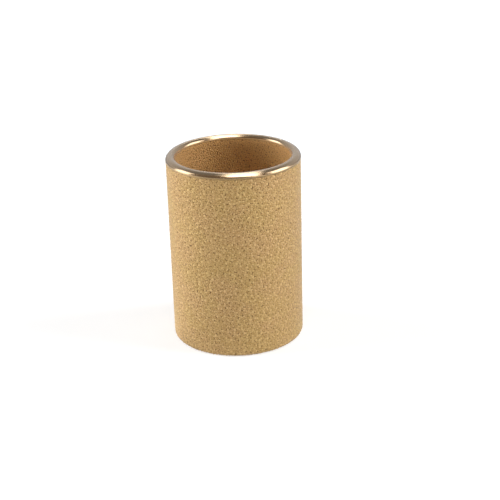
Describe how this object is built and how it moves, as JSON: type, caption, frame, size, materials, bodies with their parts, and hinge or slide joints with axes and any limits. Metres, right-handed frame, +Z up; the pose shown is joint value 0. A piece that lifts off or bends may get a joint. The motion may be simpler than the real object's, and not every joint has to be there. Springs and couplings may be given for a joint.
{
  "type": "filter stone",
  "caption": "Hollow sleeve of sintered bronze grains, open at both ends with a rounded burnished lip, that strains grit out of compressed air.",
  "frame": {"origin": "centre of the base, on the plane the sleeve stands on", "axes": "+Z up the sleeve's axis, from the base to the burnished lip; X and Y are any two radii, because the sleeve is round"},
  "size_m": [0.028, 0.028, 0.04],
  "materials": {
    "sintered_bronze": "matt, granular and porous, with a burnished lip"
  },
  "bodies": {
    "root": {"filter_sleeve": "sintered_bronze"}
  },
  "joints": []
}
